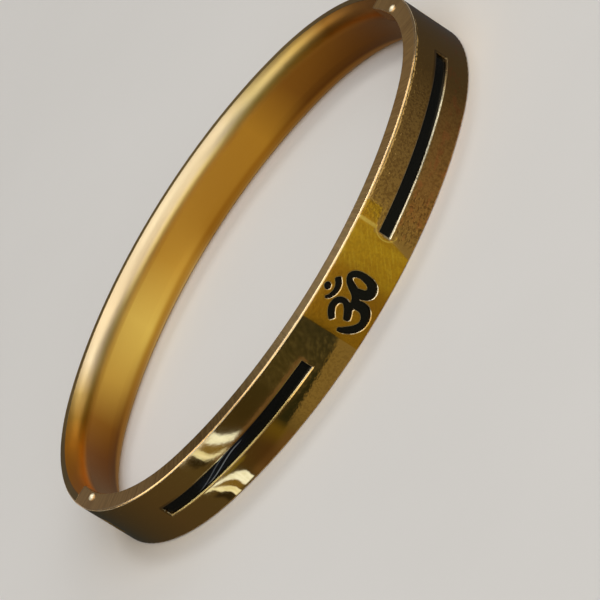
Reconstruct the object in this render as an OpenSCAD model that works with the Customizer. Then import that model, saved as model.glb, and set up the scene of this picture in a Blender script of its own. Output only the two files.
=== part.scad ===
// Oval kada bangle in two halves, lying on its side.
// +X runs from the hinge end to the clasp end, -Y faces whoever looks at the sign,
// and +Z is up along the width of the band. All lengths are in millimetres.

/* [Inside oval] */
// Half of the inside length, from the middle to the hinge or clasp end
inner_half_length = 32.4; // [30.5:0.1:37.5]
// Inside depth of the front half, from the widest line to the middle of its face
front_depth = 24.8; // [21:0.1:28]
// Inside depth of the back half, from the widest line to its middle
back_depth = 27; // [23:0.1:28.5]

/* [Band] */
// Width of the band, which is its height when the bangle lies down
band_width = 8; // [7.8:0.1:12]
// Thickness of the front half
front_thick = 2.3; // [2:0.1:3]
// Thickness of the back half
back_thick = 2.3; // [2:0.1:3]
// Bevel on the edges of the front half
front_bevel = 0.15; // [0.05:0.05:0.25]
// Bevel on the outer edges of the back half
back_outer_bevel = 0.2; // [0.05:0.05:0.4]
// Radius of the comfort rounding on the inside edges of the back half
comfort_round = 3.2; // [1.5:0.1:3.2]

/* [Black inlay] */
// Depth of the pockets that hold the enamel
pocket_depth = 0.8; // [0.6:0.05:1]
// How far the enamel lies below the gold face
enamel_sunk = 0.3; // [0.1:0.05:0.4]
// Fine gap between the enamel and its pocket
enamel_gap = 0.02; // [0.01:0.01:0.05]
// Height of the two long slots
slot_height = 1.5; // [1:0.1:2.5]
// Distance along the face from the middle to the near end of a slot
slot_start = 8.4; // [7.5:0.1:12]
// Length of a slot along the face
slot_length = 25.8; // [20:0.1:27]
// How far the slots lie above the middle of the band
slot_lift = 0.12; // [0:0.02:0.3]
// Height of the sign
sign_height = 6.9; // [4:0.1:7]
// How far the sign lies above the middle of the band
sign_lift = 0.15; // [0:0.05:0.3]
// How far the ends of the sign's strokes bulge, as a share of their half width
stroke_bulge = 0.35; // [0.1:0.05:1]

/* [Hinge and clasp] */
// How far behind the widest line the two halves meet
seam_behind = 2.2; // [1.5:0.1:3]
// Gap between the two halves at the seams
seam_gap = 0.08; // [0.05:0.01:0.15]
// Radius of the hinge pin and the catch pin
pin_radius = 0.4; // [0.3:0.05:0.45]
// Radius of the domed pin heads
pin_head_radius = 0.5; // [0.45:0.05:0.6]
// Height of the domed pin heads
pin_head_height = 0.25; // [0.1:0.05:0.4]
// Distance from the inside face to the axis of each pin
pin_inset = 0.75; // [0.7:0.05:1]
// How far the hinge opens
opening_angle = 60; // [30:5:75]
// How far in front of the widest line the hinge pin stands
hinge_pin_forward = 1.6; // [1:0.1:3]
// How far in front of the widest line the catch pin stands
catch_pin_forward = 3.2; // [2.5:0.1:4]
// Height of the hinge knuckle and the clasp tongue
knuckle_height = 2.8; // [2:0.1:2.8]
// Length of the clasp tongue past the catch pin
tongue_tip = 1.2; // [0.8:0.1:2]
// Running clearance round the knuckle, the tongue and the pins
running_gap = 0.05; // [0.03:0.01:0.08]
// Fine gap between a pin and its seat in the front half
pin_seat_gap = 0.01; // [0.01:0.01:0.02]

/* [Hidden] */
$fn = 96;

gold = [0.80, 0.62, 0.28];
satin_gold = [0.78, 0.57, 0.22];
enamel_black = [0.03, 0.03, 0.035];

// The oval is made of tangent arcs, a long middle arc and two end arcs to each half.
// They meet along lines that slope 3 across to 4 along, which keeps every centre exact.
across = 3 / 5;
along = 4 / 5;
front_end_r = (3 * front_depth - inner_half_length) / 2;
back_end_r = (3 * back_depth - inner_half_length) / 2;
front_mid_r = front_end_r + (inner_half_length - front_end_r) / across;
back_mid_r = back_end_r + (inner_half_length - back_end_r) / across;
arc_angle = atan(across / along);

// The face of the front half, where the slots and the sign are cut
face_mid_r = front_mid_r + front_thick;
face_end_r = front_end_r + front_thick;
face_centre_y = front_mid_r - front_depth;
sign_z = band_width / 2 + sign_lift;

// The frame's origin is under the middle of the bangle's box
shift_y = (front_depth + front_thick - back_depth - back_thick) / 2;

hinge_x = -end_x(-hinge_pin_forward, pin_inset);
hinge_y = -hinge_pin_forward;
catch_x = end_x(-catch_pin_forward, pin_inset);
catch_y = -catch_pin_forward;
catch_swing_r = norm([catch_x - hinge_x, catch_y - hinge_y]);
seam_r = norm([front_thick / 2 - pin_inset, seam_behind + hinge_pin_forward]);
knuckle_r = front_thick - pin_inset;
knuckle_low = (band_width - knuckle_height) / 2;
tongue_end_y = catch_y - tongue_tip;
// Direction in which the blanks of the hinge and clasp run past the widest line
past_widest = [1, 0.25];
// Spare length of the cutters past the faces that they cut
over = 1;

// How far out the end of the front half lies at y, outward of its inside face
function end_x(y, outward) =
    inner_half_length - front_end_r + sqrt(pow(front_end_r + outward, 2) - y * y);

// The sign as strokes of a broad pen. Each row is [across, up, half width],
// in hundredths of the sign's height, counted from the middle of the sign.
upper_stroke = [
    [-38, 8, 5.8], [-30.5, 14.5, 6.4], [-21, 18.5, 6.4], [-11, 17, 6], [-5, 10.5, 5.2],
    [-5, 3, 5.2], [-9.5, -5, 6.8], [-17, -11, 7.4], [-27.5, -15.4, 6.4]
];
bowl_stroke = [
    [0.5, -13, 8], [2, -25, 9], [0, -34.5, 9.5], [-7, -41, 8.8], [-16.5, -43.5, 7.5],
    [-26, -41.5, 7], [-34.5, -35, 6.8], [-41.3, -26, 6.2], [-46, -17.4, 4.8], [-48.2, -10.4, 3.2]
];
rising_stroke = [
    [-9, -10, 6.5], [1.5, -12, 7], [11.5, -9, 8], [17.5, -2, 7.6], [21.8, 6.5, 6.9],
    [27, 14.2, 6.1], [34.8, 17.8, 5.8], [41.8, 12.7, 5.6], [45.1, 3, 5.7], [45.2, -6, 6.2]
];
falling_stroke = [
    [45.2, -1, 5.9], [44.6, -9.5, 6.8], [42.4, -18.8, 7.9], [37.2, -26.2, 9.4], [28.6, -28, 9.8],
    [21.6, -22, 8.4], [18.6, -12.5, 7.9], [18, -5, 7.2]
];
crescent_stroke = [
    [-15, 37.5, 2.2], [-11, 32.5, 3.4], [-3, 28.2, 4.6], [6.5, 27, 5.3], [15, 29.4, 6], [21.8, 35, 5.9]
];
dot_place = [2.4, 44];
dot_radius = 6.4;
pen_steps = 4;
unit = sign_height / 100;

function between(p0, p1, p2, p3, t) =
    0.5 * (2 * p1 + (p2 - p0) * t + (2 * p0 - 5 * p1 + 4 * p2 - p3) * t * t
        + (3 * p1 - p0 - 3 * p2 + p3) * t * t * t);

// A smooth path through the rows of a stroke
function pen_path(rows) = concat(
    [for (i = [0 : len(rows) - 2], k = [0 : pen_steps - 1])
        between(rows[max(i - 1, 0)], rows[i], rows[i + 1], rows[min(i + 2, len(rows) - 1)],
            k / pen_steps)],
    [rows[len(rows) - 1]]
);

// Direction of a path at one of its points
function pen_way(path, i) =
    let (a = path[max(i - 1, 0)], b = path[min(i + 1, len(path) - 1)])
    [b[0] - a[0], b[1] - a[1]] / norm([b[0] - a[0], b[1] - a[1]]);

// A point so far ahead of a path's point, and so far to its left, in millimetres
function pen_point(row, way, ahead, left) = [
    row[0] * unit + ahead * way[0] - left * way[1],
    row[1] * unit + ahead * way[1] + left * way[0]
];

// One side of a stroke, grown outward by grow in millimetres
function pen_side(path, side, grow) = [
    for (i = [0 : len(path) - 1])
        let (past = i == 0 ? -grow : i == len(path) - 1 ? grow : 0)
        pen_point(path[i], pen_way(path, i), past, side * (path[i][2] * unit + grow))
];

// The rounded end of a stroke, from its left side round to its right
function pen_end(row, way, grow) =
    let (half = row[2] * unit + grow)
    [for (turn = [30 : 30 : 150])
        pen_point(row, way, grow + stroke_bulge * half * sin(turn), half * cos(turn))];

function turned(list) = [for (i = [len(list) - 1 : -1 : 0]) list[i]];

module stroke(rows, grow) {
    path = pen_path(rows);
    last = len(path) - 1;
    polygon(concat(
        pen_side(path, 1, grow), pen_end(path[last], pen_way(path, last), grow),
        turned(pen_side(path, -1, grow)), pen_end(path[0], -pen_way(path, 0), grow)
    ));
}

module sign_body(grow) {
    stroke(upper_stroke, grow);
    stroke(bowl_stroke, grow);
    stroke(rising_stroke, grow);
    stroke(falling_stroke, grow);
}

module sign_crescent(grow) {
    stroke(crescent_stroke, grow);
}

module sign_dot(grow) {
    translate(dot_place * unit) circle(r = dot_radius * unit + grow);
}

// Carries a flat shape onto the face, between two radii of its long arc
module on_face(inner_r, outer_r) {
    intersection() {
        translate([0, -front_depth + over, sign_z])
            rotate([90, 0, 0])
                linear_extrude(front_thick + 2 * over) children();
        translate([0, face_centre_y, 0]) difference() {
            cylinder(r = outer_r, h = band_width + over);
            translate([0, 0, -over]) cylinder(r = inner_r, h = band_width + 3 * over);
        }
    }
}

// Section of a bar: x is measured outward from the inside face, y is up
module bar_section(thick, inner_bevel, outer_bevel) {
    polygon([
        [inner_bevel, 0], [thick - outer_bevel, 0],
        [thick, outer_bevel], [thick, band_width - outer_bevel],
        [thick - outer_bevel, band_width], [inner_bevel, band_width],
        [0, band_width - inner_bevel], [0, inner_bevel]
    ]);
}

// Section of the back half, whose inside bends away towards both edges. Each rounding
// leaves the inside face smoothly and meets the edge in a crisp corner.
module comfort_section() {
    rise = along * comfort_round;
    difference() {
        bar_section(back_thick, 0, back_outer_bevel);
        for (low = [-over, band_width - rise])
            difference() {
                translate([-over, low]) square([over + (1 - across) * comfort_round, rise + over]);
                translate([comfort_round, low < 0 ? rise : low]) circle(r = comfort_round);
            }
    }
}

// One arc of a bar, between two directions from its centre. Its section is the child,
// which stands on the arc of that radius.
module arc_bar(centre, radius, from, to) {
    reach = 3 * inner_half_length;
    intersection() {
        translate(centre) rotate_extrude() translate([radius, 0]) children();
        translate([centre[0], centre[1], -over])
            linear_extrude(band_width + 2 * over)
                polygon([[0, 0], reach * from, reach * (from + to), reach * to]);
    }
}

// The run of the front half, past the widest line by a rise in the given direction
module front_run(past) {
    arc_bar([0, face_centre_y], front_mid_r, [-across, -along], [across, -along]) children();
    for (side = [0, 1]) mirror([side, 0, 0]) {
        arc_bar([inner_half_length - front_end_r, 0], front_end_r, [across, -along], [1, 0])
            children();
        arc_bar([inner_half_length - back_end_r, 0], back_end_r, [1, 0], past) children();
    }
}

// The run of the back half, from the widest line at both ends
module back_run() {
    arc_bar([0, back_depth - back_mid_r], back_mid_r, [-across, along], [across, along]) children();
    for (side = [0, 1]) mirror([side, 0, 0])
        arc_bar([inner_half_length - back_end_r, 0], back_end_r, [1, 0], [across, along]) children();
}

// A stretch of the face between two depths, as long and high as a slot
module slot_run(inner_depth, outer_depth, grow) {
    start = (slot_start - grow) / face_mid_r * 180 / PI;
    past_arc = slot_start + slot_length + grow - arc_angle * PI / 180 * face_mid_r;
    finish = arc_angle + past_arc / face_end_r * 180 / PI;
    arc_bar([0, face_centre_y], face_mid_r, [sin(start), -cos(start)], [across, -along])
        slot_section(inner_depth, outer_depth, grow);
    arc_bar([inner_half_length - front_end_r, 0], face_end_r, [across, -along],
        [sin(finish), -cos(finish)])
        slot_section(inner_depth, outer_depth, grow);
}

module slot_section(inner_depth, outer_depth, grow) {
    translate([-inner_depth, (band_width - slot_height) / 2 + slot_lift - grow])
        square([inner_depth - outer_depth, slot_height + 2 * grow]);
}

module slot_enamel() {
    slot_run(pocket_depth - enamel_gap, enamel_sunk, -enamel_gap);
}

// A layer as high as the knuckle, with the given clearance above and below
module knuckle_layer(gap) {
    translate([0, 0, knuckle_low - gap]) linear_extrude(knuckle_height + 2 * gap) children();
}

// Everything behind y on one side of the middle: side is -1 for the hinge end
module behind(y, side) {
    reach = inner_half_length + 4 * over + front_thick;
    translate([side > 0 ? inner_half_length / 2 : -reach, y])
        square([reach - inner_half_length / 2, seam_r + 4 * over]);
}

// What the fork of the front half leaves free for the hinge knuckle. Its outer lip slopes,
// and stops the knuckle when the hinge is fully open.
module hinge_fork() {
    lip = knuckle_r + 2 * running_gap;
    lip_length = 2 * knuckle_r;
    knuckle_layer(running_gap) {
        translate([hinge_x, hinge_y]) {
            circle(r = knuckle_r + running_gap);
            rotate(opening_angle) polygon([
                [0, 0], [-lip, 0], [-lip, lip_length], [0, lip_length]
            ]);
        }
        behind(hinge_y, -1);
    }
}

// What the front half leaves free for the clasp tongue
module clasp_fork() {
    knuckle_layer(running_gap) behind(tongue_end_y - 2 * running_gap, 1);
}

module front_band() color(gold) translate([0, shift_y, 0]) difference() {
    front_run(past_widest) bar_section(front_thick, front_bevel, front_bevel);
    // the end at the hinge is round about the pin, the end at the clasp is straight
    translate([0, 0, -over]) linear_extrude(band_width + 2 * over) {
        difference() {
            behind(0, -1);
            translate([hinge_x, hinge_y]) circle(r = seam_r);
        }
        behind(seam_behind, 1);
    }
    hinge_fork();
    clasp_fork();
    for (place = [[hinge_x, hinge_y], [catch_x, catch_y]])
        translate([place[0], place[1], -over])
            cylinder(r = pin_radius + pin_seat_gap, h = band_width + 2 * over);
    for (side = [0, 1]) mirror([side, 0, 0]) slot_run(pocket_depth, -over, 0);
    on_face(face_mid_r - pocket_depth, face_mid_r + over) {
        sign_body(0);
        sign_crescent(0);
        sign_dot(0);
    }
}

module left_slot_enamel() color(enamel_black) translate([0, shift_y, 0])
    mirror([1, 0, 0]) slot_enamel();

module right_slot_enamel() color(enamel_black) translate([0, shift_y, 0]) slot_enamel();

module sign_enamel() color(enamel_black) translate([0, shift_y, 0])
    on_face(face_mid_r - pocket_depth + enamel_gap, face_mid_r - enamel_sunk) children();

module sign_body_enamel() sign_enamel() sign_body(-enamel_gap);

module sign_crescent_enamel() sign_enamel() sign_crescent(-enamel_gap);

module sign_dot_enamel() sign_enamel() sign_dot(-enamel_gap);

// A pin pressed into the front half, its domed head on the upper edge of the band
module pin(x, y) {
    dome_r = (pow(pin_head_radius, 2) + pow(pin_head_height, 2)) / (2 * pin_head_height);
    shank_start = 2 * running_gap;
    color(gold) translate([x, y + shift_y, 0]) {
        translate([0, 0, shank_start])
            cylinder(r = pin_radius, h = band_width + pin_seat_gap + pin_head_height / 2 - shank_start);
        translate([0, 0, band_width + pin_seat_gap]) intersection() {
            cylinder(r = pin_head_radius, h = pin_head_height);
            translate([0, 0, pin_head_height - dome_r]) sphere(r = dome_r);
        }
    }
}

module hinge_pin() pin(hinge_x, hinge_y);

module catch_pin() pin(catch_x, catch_y);

// The knuckle turns about the hinge pin inside the fork of the front half
module hinge_knuckle() {
    intersection() {
        front_knuckle_run();
        knuckle_layer(0) {
            translate([hinge_x, hinge_y]) circle(r = knuckle_r);
            behind(hinge_y, -1);
        }
    }
}

// The tongue reaches past the catch pin, with a slot that slides off the pin as it opens
module clasp_tongue() {
    difference() {
        intersection() {
            front_knuckle_run();
            knuckle_layer(0) behind(tongue_end_y, 1);
        }
        translate([0, 0, -over]) linear_extrude(band_width + 2 * over) {
            translate([catch_x, catch_y]) circle(r = pin_radius + running_gap);
            intersection() {
                translate([hinge_x, hinge_y]) difference() {
                    circle(r = catch_swing_r + pin_radius + running_gap);
                    circle(r = catch_swing_r - pin_radius - running_gap);
                }
                translate([inner_half_length / 2, catch_y - tongue_tip - over])
                    square([inner_half_length, tongue_tip + over]);
            }
        }
    }
}

// The band's whole thickness, as far behind the widest line as the seams
module front_knuckle_run() {
    front_run(past_widest) bar_section(front_thick, 0, 0);
}

module back_band() color(satin_gold) translate([0, shift_y, 0]) difference() {
    union() {
        difference() {
            back_run() comfort_section();
            translate([0, 0, -over]) linear_extrude(band_width + 2 * over) {
                translate([hinge_x, hinge_y]) circle(r = seam_r + seam_gap);
                translate([0, -over]) square([2 * inner_half_length, seam_behind + seam_gap + over]);
            }
        }
        hinge_knuckle();
        clasp_tongue();
    }
    translate([hinge_x, hinge_y, -over])
        cylinder(r = pin_radius + running_gap, h = band_width + 2 * over);
}

front_band();
left_slot_enamel();
right_slot_enamel();
sign_body_enamel();
sign_crescent_enamel();
sign_dot_enamel();
hinge_pin();
catch_pin();
back_band();
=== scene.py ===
import math

import bpy
from mathutils import Matrix, Vector

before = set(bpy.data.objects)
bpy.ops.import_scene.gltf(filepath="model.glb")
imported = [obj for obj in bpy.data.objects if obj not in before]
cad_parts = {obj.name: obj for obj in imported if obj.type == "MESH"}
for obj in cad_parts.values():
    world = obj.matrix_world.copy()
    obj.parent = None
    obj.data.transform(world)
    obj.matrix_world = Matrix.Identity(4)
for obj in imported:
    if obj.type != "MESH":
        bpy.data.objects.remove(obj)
bpy.context.view_layer.update()
MM = 0.001

# Curves of the two halves from above, in millimetres: the middle's x and y and the radius of the
# arc over the half's middle, then of the arc toward each end
FRONT_MID = (0.0, 14.1, 42.3)
FRONT_END = (11.4, -1.1, 23.3)
BACK_MID = (0.0, -11.9, 37.8)
BACK_END = (8.1, -1.1, 24.3)
# Angle at which the middle arc passes into the end arcs
TURN = math.atan2(0.6, 0.8)
# Length of the back half's inside, and the sign panel's two ends along the front half
BACK_LENGTH = 93.7
PLATE = (-4.1, 8.1)
# Long slots: distance of their middles from the sign, half length, height and half width
SLOT_MIDDLE, SLOT_HALF = 21.3, 12.9
SLOT_HEIGHT, SLOT_RISE = 4.12, 0.75


# Short calls for the nodes of one material. x, y and z are the place on the object, in millimetres
class Shade:
    def __init__(self, name):
        self.mat = bpy.data.materials.new(name)
        self.mat.use_nodes = True
        self.tree = self.mat.node_tree
        self.tree.nodes.clear()
        self.out = self.node("ShaderNodeOutputMaterial")
        spot = self.node("ShaderNodeTexCoord").outputs["Object"]
        split = self.node("ShaderNodeSeparateXYZ")
        self.link(spot, split.inputs[0])
        self.x = self.math("MULTIPLY", split.outputs[0], 1 / MM)
        self.y = self.math("MULTIPLY", split.outputs[1], 1 / MM)
        self.z = self.math("MULTIPLY", split.outputs[2], 1 / MM)

    def node(self, kind, **settings):
        made = self.tree.nodes.new(kind)
        for key, value in settings.items():
            setattr(made, key, value)
        return made

    def link(self, source, target):
        self.tree.links.new(source, target)

    def feed(self, socket, value):
        if isinstance(value, bpy.types.NodeSocket):
            self.link(value, socket)
        elif isinstance(value, tuple) and len(value) == 3 and socket.type == "RGBA":
            socket.default_value = (*value, 1)
        else:
            socket.default_value = value

    def math(self, how, *values):
        made = self.node("ShaderNodeMath", operation=how)
        for socket, value in zip(made.inputs, values):
            self.feed(socket, value)
        return made.outputs[0]

    def add(self, *values):
        total = values[0]
        for value in values[1:]:
            total = self.math("ADD", total, value)
        return total

    def times(self, *values):
        total = values[0]
        for value in values[1:]:
            total = self.math("MULTIPLY", total, value)
        return total

    # 0 below low and 1 above high, smooth between them. It falls when high is the smaller number
    def step(self, value, low, high):
        made = self.node("ShaderNodeMapRange", interpolation_type="SMOOTHSTEP")
        self.feed(made.inputs[0], value)
        made.inputs[1].default_value = low
        made.inputs[2].default_value = high
        return made.outputs[0]

    # 1 between low and high, 0 outside, with soft ends
    def band(self, value, low, high, soft):
        rise = self.step(value, low - soft, low + soft)
        fall = self.math("SUBTRACT", 1, self.step(value, high - soft, high + soft))
        return self.times(rise, fall)

    def vector(self, x, y, z):
        made = self.node("ShaderNodeCombineXYZ")
        for socket, value in zip(made.inputs, (x, y, z)):
            self.feed(socket, value)
        return made.outputs[0]

    def noise(self, vector, scale, detail, rough):
        made = self.node("ShaderNodeTexNoise")
        self.link(vector, made.inputs["Vector"])
        made.inputs["Scale"].default_value = scale
        made.inputs["Detail"].default_value = detail
        made.inputs["Roughness"].default_value = rough
        return made.outputs["Fac"]

    def mix(self, share, one, two):
        made = self.node("ShaderNodeMix", data_type="RGBA")
        self.feed(made.inputs[0], share)
        self.feed(made.inputs[6], one)
        self.feed(made.inputs[7], two)
        return made.outputs[2]

    # Colour by a value between 0 and 1, from stops of a place and a colour
    def curve(self, value, stops):
        made = self.node("ShaderNodeValToRGB")
        self.feed(made.inputs[0], value)
        ramp = made.color_ramp
        ramp.elements[0].position, ramp.elements[-1].position = stops[0][0], stops[-1][0]
        for place, _ in stops[1:-1]:
            ramp.elements.new(place)
        for element, (place, colour) in zip(ramp.elements, stops):
            element.position = place
            element.color = (*colour, 1)
        return made.outputs[0]

    # Bump of a height in millimetres, on top of the normal that it comes after
    def bump(self, height, strength, distance, after=None):
        made = self.node("ShaderNodeBump")
        made.inputs["Strength"].default_value = strength
        made.inputs["Distance"].default_value = distance * MM
        self.feed(made.inputs["Height"], height)
        if after is not None:
            self.link(after, made.inputs["Normal"])
        return made.outputs[0]

    # Length along a half from its middle, + toward the clasp side. way is 1 for the back half and
    # -1 for the front half
    def along(self, mid, end, way):
        far = self.math("SUBTRACT", mid[1], self.y)
        near = self.math("SUBTRACT", end[1], self.y)
        if way > 0:
            far = self.times(far, -1)
            near = self.times(near, -1)
        size = self.math("ABSOLUTE", self.x)
        first = self.times(self.math("ARCTAN2", size, far), mid[2])
        turn = self.math("ARCTAN2", self.math("SUBTRACT", size, end[0]), near)
        second = self.add(self.times(turn, end[2]), TURN * (mid[2] - end[2]))
        past = self.math("GREATER_THAN", first, TURN * mid[2])
        length = self.add(first, self.times(past, self.math("SUBTRACT", second, first)))
        return self.times(length, self.math("SIGN", self.x))

    # Distance outward from a half's curve, at the length s along it
    def depth(self, s, mid, end):
        middle = self.math("SUBTRACT", self.y, mid[1])
        side = self.math("SUBTRACT", self.math("ABSOLUTE", self.x), end[0])
        corner = self.math("SUBTRACT", self.y, end[1])
        far = self.math("SQRT", self.add(self.times(self.x, self.x), self.times(middle, middle)))
        near = self.math("SQRT", self.add(self.times(side, side), self.times(corner, corner)))
        past = self.math("GREATER_THAN", self.math("ABSOLUTE", s), TURN * mid[2])
        swap = self.add(near, mid[2] - end[2], self.times(far, -1))
        return self.add(far, -mid[2], self.times(past, swap))

    # Vector arithmetic
    def aim(self, how, *values):
        made = self.node("ShaderNodeVectorMath", operation=how)
        for socket, value in zip(made.inputs, values):
            self.feed(socket, value)
        return made.outputs["Value"] if how == "DOT_PRODUCT" else made.outputs[0]

    # Rounded edges for the gloss alone, and how near an edge each point is. turn makes the
    # rounding stronger than the radius alone does
    def soft_edge(self, radius, turn=1.0):
        made = self.node("ShaderNodeBevel", samples=8)
        made.inputs[0].default_value = radius * MM
        flat = self.node("ShaderNodeNewGeometry").outputs["Normal"]
        near = self.math("SUBTRACT", 1, self.aim("DOT_PRODUCT", made.outputs[0], flat))
        lean = self.aim("SUBTRACT", made.outputs[0], flat)
        lean = self.aim("MULTIPLY", lean, (turn, turn, turn))
        return self.aim("NORMALIZE", self.aim("ADD", flat, lean)), near

    def surface(self, colour, roughness, normal, metallic, specular):
        shader = self.node("ShaderNodeBsdfPrincipled")
        shader.inputs["Metallic"].default_value = metallic
        shader.inputs["Specular IOR Level"].default_value = specular
        self.feed(shader.inputs["Base Color"], colour)
        self.feed(shader.inputs["Roughness"], roughness)
        self.link(normal, shader.inputs["Normal"])
        self.link(shader.outputs[0], self.out.inputs[0])
        return self.mat

    def metal(self, colour, roughness, normal):
        return self.surface(colour, roughness, normal, 1, 0.5)


# Where the sign panel is: its clasp-side end steps round the slot
def panel_mask(m, s, z):
    limit = m.add(PLATE[1], m.times(m.step(z, 5.5, 5.7), 2.9))
    limit = m.add(limit, m.times(m.math("MAXIMUM", m.math("SUBTRACT", 2.6, z), 0), -0.25))
    inner = m.step(m.math("SUBTRACT", limit, s), -0.05, 0.05)
    return m.times(m.step(s, PLATE[0] - 0.05, PLATE[0] + 0.05), inner)


# Thin painted highlight line down from the upper edge and round the near end of the clasp-side
# slot
def ring_highlight_mask(m, s, z):
    upright = m.times(m.band(s, 8.52, 8.95, 0.12), m.step(z, 5.2, 5.5))
    across = m.times(m.add(s, -9.0), 1 / 1.18)
    up = m.times(m.add(z, -4.0), 1 / 1.48)
    ring = m.add(m.math("SQRT", m.add(m.times(across, across), m.times(up, up))), -1.0)
    ring = m.times(m.step(m.math("ABSOLUTE", ring), 0.085, 0.02), m.step(s, 9.0, 8.8))
    return m.math("MAXIMUM", upright, ring)


# Distance from the nearest slot, 0 inside it
def slot_gap(m, s, z):
    beside = m.math("ABSOLUTE", m.math("SUBTRACT", m.math("ABSOLUTE", s), SLOT_MIDDLE))
    above = m.math("ABSOLUTE", m.math("SUBTRACT", z, SLOT_HEIGHT))
    beside = m.math("MAXIMUM", m.math("SUBTRACT", beside, SLOT_HALF), 0)
    above = m.math("MAXIMUM", m.math("SUBTRACT", above, SLOT_RISE), 0)
    return m.math("SQRT", m.add(m.times(beside, beside), m.times(above, above)))


# Heights, in millimetres, between which the bevel's paint passes into the flat upper edge's
TOP_FROM, TOP_TO = 7.86, 7.94


# Polished front half: mirror face with a satin sign panel, streaked upper edge
def front_metal():
    m = Shade("front_gold")
    s = m.along(FRONT_MID, FRONT_END, -1)
    spot = m.vector(m.x, m.y, m.z)
    cloud = m.noise(spot, 0.09, 3, 0.55)
    fine = m.noise(spot, 1.6, 3, 0.6)
    tone = m.mix(cloud, (0.80, 0.50, 0.15), (0.70, 0.44, 0.14))

    # Where the upper edge, the outer face, the sign panel and the clasp side are
    top = m.step(m.z, TOP_FROM, TOP_TO)
    outward = m.step(m.depth(s, FRONT_MID, FRONT_END), -1.3, -1.0)
    outer = m.times(outward, m.step(top, 0.5, 0.4))
    panel = m.times(panel_mask(m, s, m.z), outer)
    right = m.step(s, 7.6, 10.5)

    # Sign panel: painted reflection for its tone, and slanting brush-mark streaks of painted
    # highlight
    blotch = m.noise(m.vector(m.times(s, 0.5), m.times(m.z, 0.16), 0.0), 1.0, 3, 0.6)
    panel_reflection = m.mix(m.step(blotch, 0.3, 0.7), (0.64, 0.34, 0.02), (0.80, 0.49, 0.03))
    panel_reflection = m.mix(m.times(m.step(s, 4.2, 1.8), 0.6), panel_reflection, (0.66, 0.29, 0.018))
    slant = m.add(m.times(s, 1.3), m.times(m.z, -1.8))
    brush_highlight = m.noise(m.vector(slant, m.times(s, 0.3), 0.0), 1.6, 3, 0.6)
    brush_highlight = m.times(m.step(brush_highlight, 0.45, 0.7), m.step(s, 2.5, 4.0), 0.5)
    panel_reflection = m.mix(brush_highlight, panel_reflection, (0.96, 0.66, 0.08))
    tone = m.mix(m.times(panel, 0.92), tone, panel_reflection)

    # Upper edge streaked across its width, with painted reflection making it paler toward the
    # middle
    streak = m.vector(m.times(s, 3), m.times(m.z, 0.4), m.times(m.y, 0.35))
    streak = m.noise(streak, 1.0, 4, 0.7)
    middle = m.step(m.math("ABSOLUTE", s), 22, 3)
    edge_streaks_and_reflection = m.mix(m.step(streak, 0.3, 0.7), (0.66, 0.38, 0.15), (1.0, 0.64, 0.28))
    edge_streaks_and_reflection = m.mix(m.times(middle, 0.5), edge_streaks_and_reflection, (1.0, 0.76, 0.44))
    tone = m.mix(top, tone, edge_streaks_and_reflection)
    rough = m.add(0.035, m.times(fine, 0.05), m.times(cloud, 0.04), m.times(panel, 0.14))
    dulled = m.add(0.04, m.times(streak, 0.1), m.times(middle, 0.13))
    rough = m.add(rough, m.times(top, dulled))

    # Orange peel and pits, the pits darkened with painted shade: coarse on the clasp side, fainter
    # on the panel and beside it, and the thin painted highlight line round the slot's near end
    peel = m.noise(spot, 2.3, 2, 0.5)
    low = m.times(m.band(s, -15, -4.6, 1.2), m.step(m.z, 3.1, 2.2), 0.45)
    coarse = m.math("MAXIMUM", right, m.math("MAXIMUM", low, m.times(panel, 0.3)))
    coarse = m.times(coarse, outer, m.step(m.z, 7.8, 7.5))
    grit = m.step(m.noise(spot, 3.4, 2, 0.5), 0.44, 0.62)
    pit_shade = m.times(grit, coarse, m.step(m.math("ABSOLUTE", s), 34, 24))
    tone = m.mix(m.times(pit_shade, 0.5), tone, (0.30, 0.15, 0.04))
    # Painted highlight: the thin yellow line round the slot's near end
    tone = m.mix(m.times(ring_highlight_mask(m, s, m.z), outer, 0.9), tone, (1.0, 0.74, 0.2))

    # Under the clasp-side slot: a redder tone and blotches of painted reflection, and small dents
    # darkened with painted shade
    red_reflection = m.times(m.step(s, 9, 13), m.step(m.z, 3.2, 2.6), m.step(s, 32, 24), outer)
    tone = m.mix(m.times(red_reflection, 0.45), tone, (0.86, 0.42, 0.12))
    red_blotch_reflection = m.noise(m.vector(m.times(s, 0.45), m.times(m.z, 0.9), 0.0), 1.0, 3, 0.6)
    red_blotch_reflection = m.times(m.step(red_blotch_reflection, 0.52, 0.66), right, outer)
    tone = m.mix(m.times(red_blotch_reflection, m.step(m.z, 4.0, 2.8), 0.5), tone, (0.95, 0.36, 0.12))
    dents = m.noise(m.vector(m.times(s, 2.2), m.times(m.z, 3.4), 0.0), 1.0, 2, 0.5)
    dents = m.times(m.step(dents, 0.5, 0.62), m.band(s, 8.6, 15.0, 0.8))
    dents = m.times(dents, m.step(m.z, 3.3, 2.9), outer)
    tone = m.mix(m.times(dents, 0.6), tone, (0.26, 0.12, 0.03))

    # Rounded edges, wider on the face than at the crest
    rim, near = m.soft_edge(0.22, 1.9)
    fine_rim, fine_near = m.soft_edge(0.1, 1.5)
    crest = m.step(m.z, 7.2, 7.5)
    below = m.math("SUBTRACT", 1, crest)
    rim = m.aim("MULTIPLY", rim, m.vector(below, below, below))
    fine_rim = m.aim("MULTIPLY", fine_rim, m.vector(crest, crest, crest))
    rim = m.aim("NORMALIZE", m.aim("ADD", rim, fine_rim))
    near = m.add(near, m.times(crest, m.math("SUBTRACT", fine_near, near)))

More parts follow.
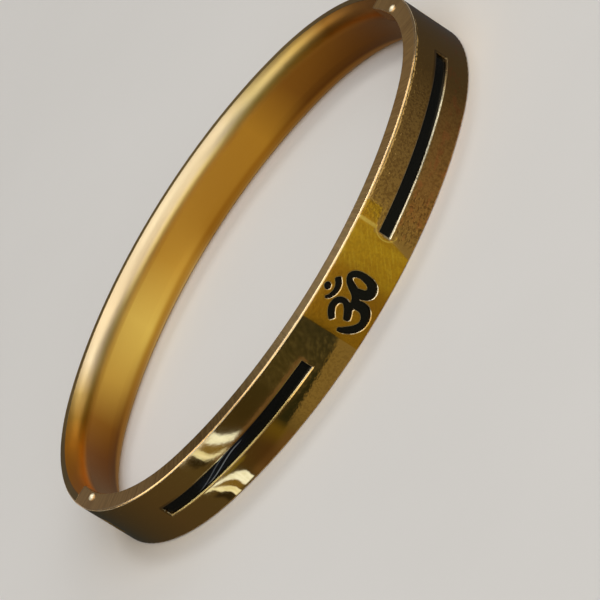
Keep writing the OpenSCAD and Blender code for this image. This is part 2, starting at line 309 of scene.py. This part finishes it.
    # Painted highlight lines where those edges are, a painted glint at the sign's lower right, and
    # painted highlight on the lower lip of the slots
    gap = slot_gap(m, s, m.z)
    painted_glint = m.times(m.band(s, 1.0, 3.2, 0.3), m.step(m.z, 2.9, 2.5))
    painted_highlight = m.times(m.math("MAXIMUM", crest, painted_glint), m.step(near, 0.006, 0.06))
    painted_highlight = m.math("MAXIMUM", m.step(near, 0.03, 0.2), painted_highlight)
    painted_highlight = m.times(painted_highlight, m.step(m.z, 0.5, 0.8), m.math("LESS_THAN", m.y, -6))
    wide = m.math("SUBTRACT", gap, m.times(m.step(s, -2, 2), 0.12))
    lip_highlight = m.times(m.step(wide, 0.12, 0.02), m.step(m.z, 4.2, 4.0), outer)
    painted_highlight = m.math("MAXIMUM", painted_highlight, lip_highlight)

    # Painted shade on the slots' far ends, which get less painted highlight, and golden painted
    # highlight round the hinge-side slot
    slot_side = m.band(m.z, 3.0, 5.2, 0.1)
    slot_side = m.times(slot_side, m.step(m.math("ABSOLUTE", s), 8.2, 8.3))
    far_end_shade_zone = m.math("MAXIMUM", m.step(s, 27, 31), m.step(s, -30, -33.5))
    painted_highlight = m.times(painted_highlight, m.math("SUBTRACT", 1, m.times(slot_side, far_end_shade_zone, 0.85)))
    painted_far_end_shade = m.times(slot_side, far_end_shade_zone, m.step(gap, 0.4, 0.2), outer, 0.7)
    tone = m.mix(painted_far_end_shade, tone, (0.30, 0.19, 0.07))
    golden = m.times(slot_side, m.step(s, -8, -14))
    shine = m.mix(golden, (1.0, 0.88, 0.60), (0.9, 0.70, 0.27))
    shine = m.mix(crest, shine, (1.0, 0.95, 0.80))
    tone = m.mix(m.times(painted_highlight, 0.9), tone, shine)
    rough = m.math("SUBTRACT", rough, m.times(painted_highlight, panel, 0.1))

    lip = m.times(m.math("MAXIMUM", m.step(gap, 0.0, 0.26), m.step(m.z, 4.0, 4.3)), outer)
    normal = m.bump(lip, 0.8, 0.1, rim)
    normal = m.bump(peel, 0.35, 0.008, normal)
    normal = m.bump(m.times(peel, coarse), 1.0, 0.03, normal)
    normal = m.bump(dents, 0.7, -0.02, normal)
    normal = m.bump(m.times(streak, top), 0.6, 0.02, normal)
    return m.metal(tone, rough, normal)


# Satin back half: fine lines along its length, with painted light and shade on its wall and edges
def back_metal():
    m = Shade("back_gold")
    s = m.along(BACK_MID, BACK_END, 1)
    depth = m.depth(s, BACK_MID, BACK_END)
    spot = m.vector(m.x, m.y, m.z)
    cloud = m.noise(spot, 0.12, 3, 0.5)
    lines = m.noise(m.vector(m.times(s, 0.35), m.times(m.z, 9), 0.0), 1.0, 3, 0.6)
    grain = m.noise(spot, 5.0, 2, 0.6)
    tone = m.mix(cloud, (0.80, 0.50, 0.13), (0.72, 0.43, 0.11))
    share = m.add(m.times(s, 1 / BACK_LENGTH), 0.5)

    # Painted light and shade on the wall inside, from the hinge end to the clasp end: dark at both
    # ends, brightest a little to the hinge side of the middle
    painted_wall_light = m.curve(share, [
        (0.0, (0.16, 0.055, 0.008)), (0.15, (0.22, 0.075, 0.010)),
        (0.21, (0.32, 0.13, 0.018)), (0.28, (0.66, 0.38, 0.075)),
        (0.37, (0.84, 0.55, 0.125)), (0.46, (0.66, 0.35, 0.055)),
        (0.58, (0.64, 0.335, 0.055)), (0.66, (0.66, 0.345, 0.052)),
        (0.74, (0.33, 0.145, 0.025)), (1.0, (0.20, 0.075, 0.012)),
    ])
    tone = m.mix(m.step(depth, 0.5, 0.15), tone, painted_wall_light)

    # Painted highlight and shade on the rolled edge above the wall: pale in the middle, orange at
    # the hinge end, dark near the clasp end, and more golden where it passes into the wall
    rolled_edge_light = m.curve(share, [
        (0.0, (0.74, 0.26, 0.025)), (0.15, (0.78, 0.28, 0.018)),
        (0.2, (0.35, 0.175, 0.025)), (0.24, (0.46, 0.29, 0.086)),
        (0.29, (0.71, 0.555, 0.335)), (0.45, (0.62, 0.48, 0.29)),
        (0.64, (0.66, 0.53, 0.32)), (0.7, (0.58, 0.43, 0.17)),
        (0.79, (0.46, 0.28, 0.07)), (0.85, (0.25, 0.1, 0.012)),
        (0.94, (0.38, 0.15, 0.028)),
    ])
    golden = m.aim("MULTIPLY", rolled_edge_light, (1.06, 1.0, 0.55))
    rolled_edge_light = m.mix(m.step(m.z, 7.0, 6.2), rolled_edge_light, golden)
    edge = m.times(m.step(m.z, 5.6, 6.5), m.step(depth, 1.5, 1.25))
    tone = m.mix(m.times(edge, 0.95), tone, rolled_edge_light)

    # Painted shade: the flat upper edge is darker, most at both ends, and so is the foot of the
    # wall
    ledge = m.times(m.step(m.z, TOP_FROM, 7.96), m.step(depth, 1.2, 1.34))
    ends = m.step(m.math("ABSOLUTE", m.add(share, -0.5)), 0.26, 0.36)
    ledge_shade = m.mix(ends, (0.42, 0.29, 0.12), (0.2, 0.14, 0.07))
    tone = m.mix(m.times(ledge, 0.85), tone, ledge_shade)
    foot_shade = m.times(m.step(m.z, 1.9, 1.0), m.step(depth, 1.0, 0.7))
    tone = m.mix(foot_shade, tone, m.aim("MULTIPLY", tone, (0.9, 0.74, 0.38)))

    rough = m.add(0.24, m.times(lines, 0.12), m.times(cloud, 0.06))
    normal = m.bump(lines, 0.35, 0.01, m.soft_edge(0.08)[0])
    normal = m.bump(grain, 0.3, 0.006, normal)
    return m.metal(tone, rough, normal)


# Brighter, rougher metal of the two pins
def pin_metal():
    m = Shade("pin_gold")
    grain = m.noise(m.vector(m.x, m.y, m.z), 6.0, 2, 0.6)
    tone = m.mix(grain, (1.0, 0.93, 0.72), (0.96, 0.82, 0.56))
    rough = m.add(0.42, m.times(grain, 0.2))
    return m.metal(tone, rough, m.bump(grain, 0.3, 0.01, m.soft_edge(0.25)[0]))


# Black enamel, with two long hair lines near the hinge side. Each has the two lengths between
# which it rises, its rise, the lengths it starts and ends at, and its strength
HAIRS = (
    (-27.2, -21.2, 0.92, -26.8, -20.6, 1.0),
    (-29.2, -22.6, 1.2, -28.4, -22.5, 0.5),
)


def enamel():
    m = Shade("black_enamel_gloss")
    s = m.along(FRONT_MID, FRONT_END, -1)
    spot = m.vector(m.x, m.y, m.z)
    wave = m.noise(spot, 0.5, 2, 0.5)
    dust = m.noise(spot, 4.0, 3, 0.7)
    lines = []
    for start, end, rise, first, last, share in HAIRS:
        high = m.add(3.5, m.times(m.step(s, start, end), rise))
        gap = m.math("ABSOLUTE", m.math("SUBTRACT", m.z, high))
        lines.append(m.times(m.step(gap, 0.085, 0.03), m.band(s, first, last, 0.8), share))
    marks = m.math("MAXIMUM", *lines)
    tone = m.mix(dust, (0.0025, 0.003, 0.0025), (0.006, 0.0065, 0.0055))
    tone = m.mix(m.times(marks, 0.75), tone, (0.26, 0.28, 0.29))
    rough = m.add(0.14, m.times(dust, 0.12), m.times(marks, 0.3))
    return m.surface(tone, rough, m.bump(wave, 0.3, 0.05), 0, 0.2)


def dress(names, material):
    for name in names:
        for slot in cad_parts[name].material_slots:
            slot.material = material


dress(["front_band"], front_metal())
dress(["back_band"], back_metal())
dress(["hinge_pin", "catch_pin"], pin_metal())
dress([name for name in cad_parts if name.endswith("enamel")], enamel())

# Camera at the photograph's angle: its place, in metres, and its directions
EYE = Vector((-0.03725, -0.53575, 0.22243))
RIGHT = Vector((0.51403, -0.36170, -0.77778))
UP = Vector((0.85550, 0.15026, 0.49552))
AHEAD = Vector((0.06236, 0.92011, -0.38667))
lens = bpy.data.cameras.new("camera")
lens.sensor_width = 36
lens.lens = 299.887
lens.clip_start = 0.01
lens.clip_end = 20
camera = bpy.data.objects.new("camera", lens)
bpy.context.scene.collection.objects.link(camera)
axes = Matrix((RIGHT, UP, -AHEAD)).transposed().to_4x4()
camera.matrix_world = Matrix.Translation(EYE) @ axes
bpy.context.scene.camera = camera


def mesh_object(name, points, faces, material):
    mesh = bpy.data.meshes.new(name)
    mesh.from_pydata(points, [], faces)
    mesh.materials.append(material)
    made = bpy.data.objects.new(name, mesh)
    bpy.context.scene.collection.objects.link(made)
    return made


# Plain pale floor, in metres
def floor_paint():
    m = Shade("floor_paint")
    spot = m.vector(m.x, m.y, m.z)
    soft = m.noise(spot, 0.02, 3, 0.5)
    fine = m.noise(spot, 1.2, 3, 0.6)
    tone = m.mix(soft, (0.72, 0.71, 0.69), (0.77, 0.76, 0.745))
    return m.surface(tone, 0.75, m.bump(fine, 0.15, 0.03), 0, 0)


FLOOR_HALF = 4
corners = [(x * FLOOR_HALF, y * FLOOR_HALF, 0) for x, y in ((-1, -1), (1, -1), (1, 1), (-1, 1))]
mesh_object("floor", corners, [(0, 1, 2, 3)], floor_paint())


# Point of an oval half at a length along it, with its outward direction
def oval(length, mid, end, way):
    size = abs(length)
    if size <= TURN * mid[2]:
        turn = size / mid[2]
        middle, radius = mid[:2], mid[2]
    else:
        turn = TURN + (size - TURN * mid[2]) / end[2]
        middle, radius = end[:2], end[2]
    side = math.copysign(1, length)
    out = Vector((side * math.sin(turn), way * math.cos(turn), 0))
    place = Vector((side * middle[0], middle[1], 0)) + out * radius
    return place, out


# Direction of what a point of the metal mirrors to the camera. Only the cards' places come from
# it, and no paint does
def mirrored(place, normal):
    ray = (place - EYE).normalized()
    return ray - 2 * ray.dot(normal) * normal


# Light of a card, painted by its spots
def glow(name, paint):
    m = Shade(name)
    spot = m.node("ShaderNodeUVMap", uv_map="spot").outputs[0]
    split = m.node("ShaderNodeSeparateXYZ")
    m.link(spot, split.inputs[0])
    shader = m.node("ShaderNodeEmission")
    m.feed(shader.inputs[0], paint(m, split.outputs[0], split.outputs[1]))
    shader.inputs[1].default_value = 1
    m.link(shader.outputs[0], m.out.inputs[0])
    return m.mat


# Studio card that only the gloss of the metal shows. For each point of its grid, lay gives the
# place and the spot, which is the pair of numbers that the paint goes by
def card(name, columns, rows, lay, paint):
    laid = [lay(i, j) for i in range(columns) for j in range(rows)]
    faces = []
    for i in range(columns - 1):
        for j in range(rows - 1):
            a = i * rows + j
            faces.append((a, a + rows, a + rows + 1, a + 1))
    made = mesh_object(name, [point for point, _ in laid], faces, glow(name, paint))
    layer = made.data.uv_layers.new(name="spot")
    for loop, corner in zip(made.data.loops, layer.data):
        corner.uv = laid[loop.vertex_index][1]
    made.visible_camera = False
    made.visible_diffuse = False
    made.visible_shadow = False
    made.visible_transmission = False


# A spot stands for a length from -SPAN / 2 to SPAN / 2 and a height from 0 to RISE, in millimetres
SPAN, RISE = 100, 10


# Lighter brown wedge under the hinge-side slot, a dark tip over it and a warm end before it
def paint_wedge(m, tone, s, z):
    edge = m.add(1.5, m.times(m.add(s, 16), 0.108))
    wedge = m.step(m.math("SUBTRACT", edge, z), -0.25, 0.25)
    wedge = m.times(wedge, m.band(s, -19.5, -4.1, 0.05))
    fade = m.step(s, -19.5, -12)
    tone = m.mix(m.times(wedge, fade), tone, (0.24, 0.21, 0.12))
    tip = m.times(m.band(s, -16.8, -8.2, 0.5), m.band(z, 1.3, 3.0, 0.2))
    tip = m.times(tip, m.math("SUBTRACT", 1, wedge))
    tone = m.mix(m.times(tip, 0.75), tone, (0.02, 0.028, 0.02))
    warm = m.times(m.band(s, -22.6, -15.8, 0.8), m.step(z, 3.6, 3.2))
    golden = m.mix(m.step(s, -19.5, -16.5), (0.085, 0.06, 0.03), (0.16, 0.13, 0.03))
    golden = m.mix(m.step(z, 1.5, 0.5), golden, (0.17, 0.12, 0.075))
    tone = m.mix(m.times(warm, 0.8), tone, golden)
    core = m.math("ABSOLUTE", m.add(s, 20.2, m.times(z, -0.5)))
    core = m.times(m.step(core, 2.6, 0.4), m.step(z, 3.0, 1.2))
    return m.mix(m.times(core, 0.5), tone, (0.085, 0.05, 0.03))


# Pale bands that bend toward the slot, the first and third with a dark shoulder and a warm gap
def paint_bands(m, tone, s, z):
    wander = m.noise(m.vector(m.times(s, 0.25), m.times(z, 0.8), 0.0), 1.0, 2, 0.5)
    wander = m.times(m.math("SUBTRACT", wander, 0.5), 0.7)
    glare = m.noise(m.vector(m.times(s, 1.6), m.times(z, 0.5), 0.0), 1.0, 3, 0.6)
    glare = m.step(glare, 0.3, 0.6)
    white = m.mix(glare, (0.98, 1.32, 2.3), (1.25, 1.78, 3.5))
    yellow = m.mix(glare, (0.95, 1.2, 1.45), (1.15, 1.5, 2.3))
    # Length and height it bends from, bend, curl, half width, heights it spans, light and the
    # heights that its shoulder spans
    for top, base, bend, curl, width, low, high, light, shoulder in (
        (-24.4, 7.5, 0.0, 0.08, 0.62, 5.15, 8.0, yellow, (5.5, 7.4)),
        (-21.75, 7.5, 0.36, 0.015, 1.0, 5.35, 7.9, white, None),
        (-25.8, 0.6, -0.345, 0.0, 0.56, 0.1, 3.3, yellow, (0.2, 1.9)),
        (-23.7, 0.6, 0.0, -0.09, 0.88, 0.35, 3.1, white, None),
    ):
        lift = m.math("SUBTRACT", z, base)
        square = m.times(lift, lift)
        middle = m.add(top, m.times(square, bend), m.times(square, square, curl))
        off = m.add(m.math("SUBTRACT", s, middle), wander)
        if shoulder:
            dark = m.times(m.band(off, -1.8, -0.5, 0.3), m.band(z, *shoulder, 0.3))
            tone = m.mix(m.times(dark, 0.8), tone, (0.018, 0.016, 0.01))
            warm = m.times(m.band(off, 0.3, 2.3, 0.3), m.band(z, low + 0.3, high, 0.3))
            tone = m.mix(m.times(warm, 0.85), tone, (0.26, 0.22, 0.09))
        mark = m.step(m.math("ABSOLUTE", off), width, width * 0.7)
        tone = m.mix(m.times(mark, m.band(z, low, high, 0.1)), tone, light)
    # Thin bright wedge where the upper bands run out along the edge
    under = m.add(z, -7.95, m.times(m.add(s, 26.6), 0.105))
    runout = m.times(m.step(under, -0.05, 0.06), m.band(s, -26.8, -21.8, 0.4))
    tone = m.mix(m.times(runout, 0.85), tone, (0.9, 1.1, 1.9))
    glint = m.times(m.band(s, -25.2, -21.5, 0.6), m.band(z, 2.75, 3.3, 0.15))
    return m.mix(m.times(glint, 0.6), tone, (0.3, 0.29, 0.08))


# What the front face mirrors, by the length along it and the height
def front_paint(m, u, v):
    s = m.math("SUBTRACT", m.times(u, SPAN), SPAN / 2)
    z = m.times(v, RISE)
    tone = m.curve(u, [
        (0.05, (0.035, 0.035, 0.03)), (0.16, (0.085, 0.07, 0.052)),
        (0.235, (0.10, 0.088, 0.06)), (0.33, (0.052, 0.045, 0.024)),
        (0.40, (0.058, 0.058, 0.034)), (0.46, (0.032, 0.038, 0.032)),
        (0.52, (0.2, 0.18, 0.12)), (0.60, (0.30, 0.27, 0.18)),
        (0.66, (0.23, 0.205, 0.16)), (0.72, (0.17, 0.155, 0.13)),
        (0.80, (0.074, 0.068, 0.062)), (0.95, (0.05, 0.05, 0.055)),
    ])
    weave = m.noise(m.vector(m.times(s, 2.4), m.times(z, 1.6), 0.0), 1.0, 3, 0.65)
    weave = m.times(m.step(s, 7.5, 10), m.step(weave, 0.42, 0.68), 0.55)
    tone = m.mix(weave, tone, (0.07, 0.05, 0.04))
    panel_reflection = m.mix(m.step(s, 1.5, 5.2), (0.26, 0.235, 0.13), (0.40, 0.37, 0.19))
    tone = m.mix(panel_mask(m, s, z), tone, panel_reflection)
    tone = m.mix(m.times(ring_highlight_mask(m, s, z), 0.9), tone, (0.66, 0.55, 0.3))
    beside_slot = m.times(m.step(slot_gap(m, s, z), 0.55, 0.4), m.band(s, -24, -7.4, 0.4))
    beside_slot = m.times(beside_slot, m.step(z, 4.0, 4.5), 0.9)
    tone = m.mix(beside_slot, tone, (0.19, 0.14, 0.12))
    tone = paint_wedge(m, tone, s, z)
    tone = paint_bands(m, tone, s, z)
    speck = m.vector(m.add(m.times(s, 1.6), m.times(z, -2.2)), m.times(s, 0.8), 0.0)
    speck = m.step(m.noise(speck, 1.8, 3, 0.6), 0.48, 0.68)
    speck = m.times(speck, m.band(s, -13, -4.3, 0.3), m.step(z, 2.6, 3.2))
    return m.mix(m.times(speck, 0.5), tone, (0.24, 0.24, 0.2))


# The front card lies just over the floor, each point where the face mirrors it to the camera.
# Its grid goes by the length along the face and the height on it
FRONT_COLUMNS, FRONT_ROWS = 199, 34
FRONT_LIFT = 0.05
LENGTH_STEP, HEIGHT_STEP = 0.5, 0.3


def front_lay(i, j):
    length = LENGTH_STEP * (i - (FRONT_COLUMNS - 1) // 2)
    high = FRONT_LIFT + HEIGHT_STEP * j
    place, out = oval(length, FRONT_MID, FRONT_END, -1)
    place = Vector((place.x, place.y, high)) * MM
    ray = mirrored(place, out)
    fall = (high - FRONT_LIFT) * MM / -ray.z
    return place + ray * fall, ((length + SPAN / 2) / SPAN, high / RISE)


card("front_card", FRONT_COLUMNS, FRONT_ROWS, front_lay, front_paint)


# What the back half's inside mirrors, brightest on the hinge side of its middle
def inner_paint(m, u, v):
    level = m.curve(m.add(m.times(m.x, 1 / 70), 0.5), [
        (0.0, (0.2, 0.14, 0.08)), (0.2, (0.45, 0.38, 0.25)), (0.33, (0.78, 0.78, 0.62)),
        (0.46, (0.80, 0.80, 0.66)), (0.53, (0.5, 0.42, 0.24)), (0.68, (0.52, 0.45, 0.27)),
        (0.78, (0.3, 0.24, 0.16)), (1.0, (0.12, 0.09, 0.06)),
    ])
    return m.mix(m.times(m.step(v, 0.12, 0.03), 0.4), level, (0.12, 0.07, 0.035))


# The inner card lies just over the floor, along the back half's inside and a little under it
BACK_HALF = TURN * BACK_MID[2] + (math.pi / 2 - TURN) * BACK_END[2]
INNER_COLUMNS, INNER_ROWS = 121, 12
INNER_LIFT, INNER_STEP, INNER_OUT = 0.12, 2.1, 1.15


def inner_lay(i, j):
    length = -BACK_HALF + 2 * BACK_HALF * i / (INNER_COLUMNS - 1)
    place, out = oval(length, BACK_MID, BACK_END, 1)
    place = Vector((place.x, place.y, INNER_LIFT)) - out * (INNER_STEP * j - INNER_OUT)
    return place * MM, (i / (INNER_COLUMNS - 1), j / (INNER_ROWS - 1))


card("inner_card", INNER_COLUMNS, INNER_ROWS, inner_lay, inner_paint)


# What the flat upper edges mirror, by the distance across in millimetres
def far_paint(m, u, v):
    stops = (
        (-34, (0.167, 0.157, 0.147)), (-27.4, (0.12, 0.1, 0.055)),
        (-22.7, (0.062, 0.062, 0.046)), (-17.5, (0.064, 0.06, 0.043)),
        (-14.5, (0.095, 0.078, 0.055)), (-11.8, (0.075, 0.078, 0.058)),
        (-3, (0.16, 0.15, 0.105)), (0, (0.22, 0.205, 0.155)),
        (4, (0.14, 0.132, 0.097)), (9, (0.16, 0.15, 0.108)),
        (27.4, (0.185, 0.16, 0.11)), (34, (0.115, 0.11, 0.1)),
    )
    return m.curve(u, [((place + SPAN / 2) / SPAN, colour) for place, colour in stops])


# The far card is one upright sheet behind the bangle. For each millimetre across, the edges
# mirror FAR_SCALE millimetres of it
FAR_X, FAR_Y, FAR_SCALE = 27, 350, 1.72


def far_lay(i, j):
    across = (-70, 70)[i]
    high = (20, 450)[j]
    place = Vector((FAR_X + FAR_SCALE * across, FAR_Y, high)) * MM
    return place, ((across + SPAN / 2) / SPAN, 0)


card("far_card", 2, 2, far_lay, far_paint)


# The crest cards are what the front half's upper bevel mirrors, at both ends and over the sign
def crest_paint(m, u, v):
    level = m.times(m.band(u, 0.1, 0.9, 0.12), m.band(v, 0.15, 0.85, 0.15))
    return m.mix(level, (0.12, 0.11, 0.1), (1.9, 2.0, 2.1))


# Each stands where a stretch of the bevel, from the length first to last, mirrors it to the
# camera. low is the bevel's lowest lean, in degrees, and sink how much less it is at last
CREST_ACROSS, CREST_UP = 20, 4
CREST_HEIGHT = 7.93
LEAN_STEP = 5.5
CREST_AWAY = 0.8


def crest_card(name, first, last, low, sink):
    def lay(i, j):
        u, v = i / CREST_ACROSS, j / CREST_UP
        length = first + (last - first) * i / CREST_ACROSS
        lean = math.radians(low - sink * i / CREST_ACROSS + LEAN_STEP * j)
        place, out = oval(length, FRONT_MID, FRONT_END, -1)
        place = Vector((place.x, place.y, CREST_HEIGHT)) * MM
        normal = out * math.cos(lean) + Vector((0, 0, math.sin(lean)))
        return place + CREST_AWAY * mirrored(place, normal), (u, v)

    card(name, CREST_ACROSS + 1, CREST_UP + 1, lay, crest_paint)


crest_card("hinge_crest", -39, -16, 40, 19)
crest_card("sign_crest", -9, 9, 35, 0)
crest_card("clasp_crest", 16, 28.5, 33, 0)


# Soft studio light facing the bangle, its power worked out from how bright the box looks
def softbox(name, place, size, level, colour):
    lamp = bpy.data.lights.new(name, "AREA")
    lamp.shape = "RECTANGLE"
    lamp.size, lamp.size_y = size
    lamp.energy = level * math.pi * size[0] * size[1]
    lamp.color = colour
    made = bpy.data.objects.new(name, lamp)
    made.location = place
    made.rotation_euler = Vector(place).to_track_quat("Z", "Y").to_euler()
    bpy.context.scene.collection.objects.link(made)


softbox("top_box", (0.1, -0.5, 1.0), (1.5, 1.1), 1.7, (1.0, 0.98, 0.95))
softbox("low_box", (0.0, -1.5, 0.62), (1.8, 0.45), 1.8, (1.0, 0.98, 0.95))
softbox("side_box", (1.3, -0.1, 0.75), (0.8, 0.7), 1.5, (1.0, 0.97, 0.92))
softbox("back_box", (0.25, 0.6, 1.2), (0.35, 0.35), 8.0, (1.0, 0.97, 0.93))

# Dim even light of the room
room = bpy.data.worlds.new("room")
room.use_nodes = True
background = room.node_tree.nodes["Background"]
background.inputs[0].default_value = (0.13, 0.125, 0.12, 1)
background.inputs[1].default_value = 1
bpy.context.scene.world = room
bpy.context.scene.view_settings.view_transform = "Standard"

bpy.context.view_layer.update()
